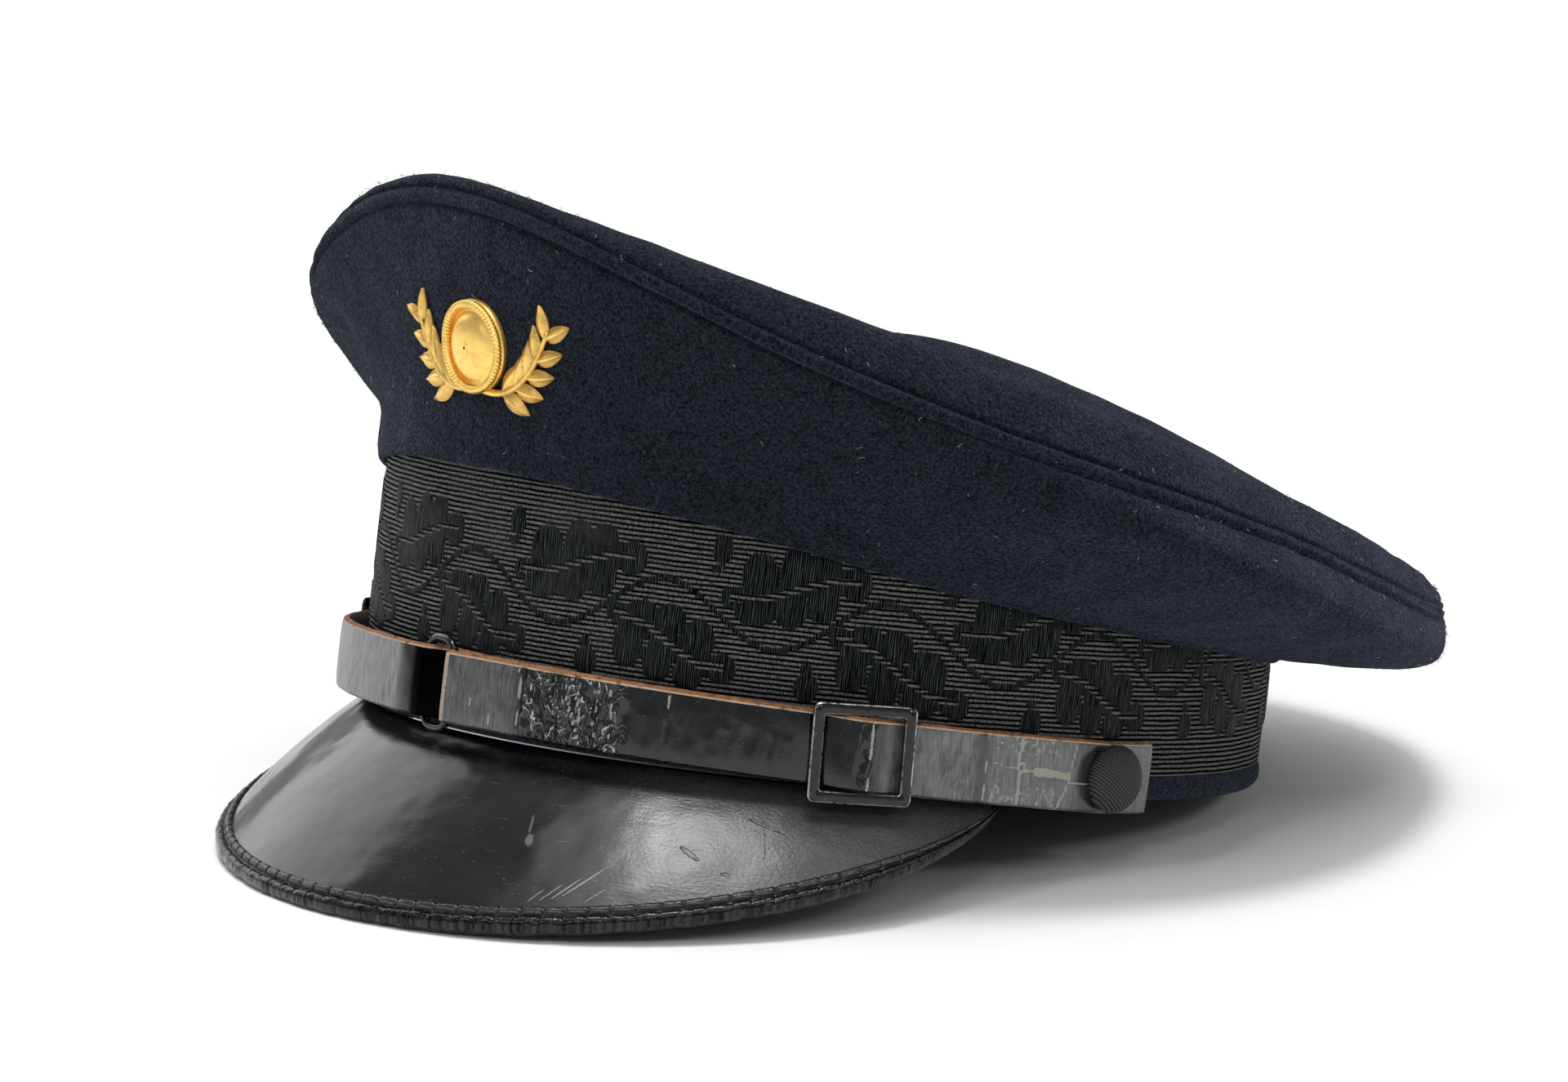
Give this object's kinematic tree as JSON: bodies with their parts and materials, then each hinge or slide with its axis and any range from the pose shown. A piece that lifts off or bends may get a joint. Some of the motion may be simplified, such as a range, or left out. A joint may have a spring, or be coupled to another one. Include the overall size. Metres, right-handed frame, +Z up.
{
  "type": "officer cap",
  "caption": "Peaked uniform cap: soft wool crown over a stiff woven band, lacquered peak with a bound rim, buckled leather chin strap and a gilt badge.",
  "frame": {"origin": "middle of the footprint, on the surface that the cap lies on", "axes": "+Z up, -Y to the front over the peak, +X to the wearer's left"},
  "size_m": [0.2568, 0.288, 0.1433],
  "materials": {
    "wool": "felted navy wool with short fuzz",
    "mohair": "black ribbed braid with woven leaves",
    "lacquer": "worn gloss lacquer",
    "binding": "cracked stitched lacquered leather",
    "strap": "creased lacquered leather with raw brown edges",
    "black_metal": "black japanned metal",
    "rep_cloth": "diagonal ribbed black cloth",
    "gilt": "worn gilt, darker in its hollows"
  },
  "bodies": {
    "root": {"crown_side_front_left": "wool", "crown_side_rear_left": "wool", "crown_side_rear_right": "wool", "crown_side_front_right": "wool", "crown_shoulder": "wool", "crown_top": "wool", "crown_welt": "wool", "band": "mohair", "base_roll": "wool", "peak": "lacquer", "peak_binding": "binding", "strap_left": "strap", "strap_right": "strap", "wire_loop": "black_metal", "buckle_right": "black_metal", "buckle_left": "black_metal", "button_right": "rep_cloth", "button_left": "rep_cloth", "badge": "gilt"}
  },
  "joints": []
}
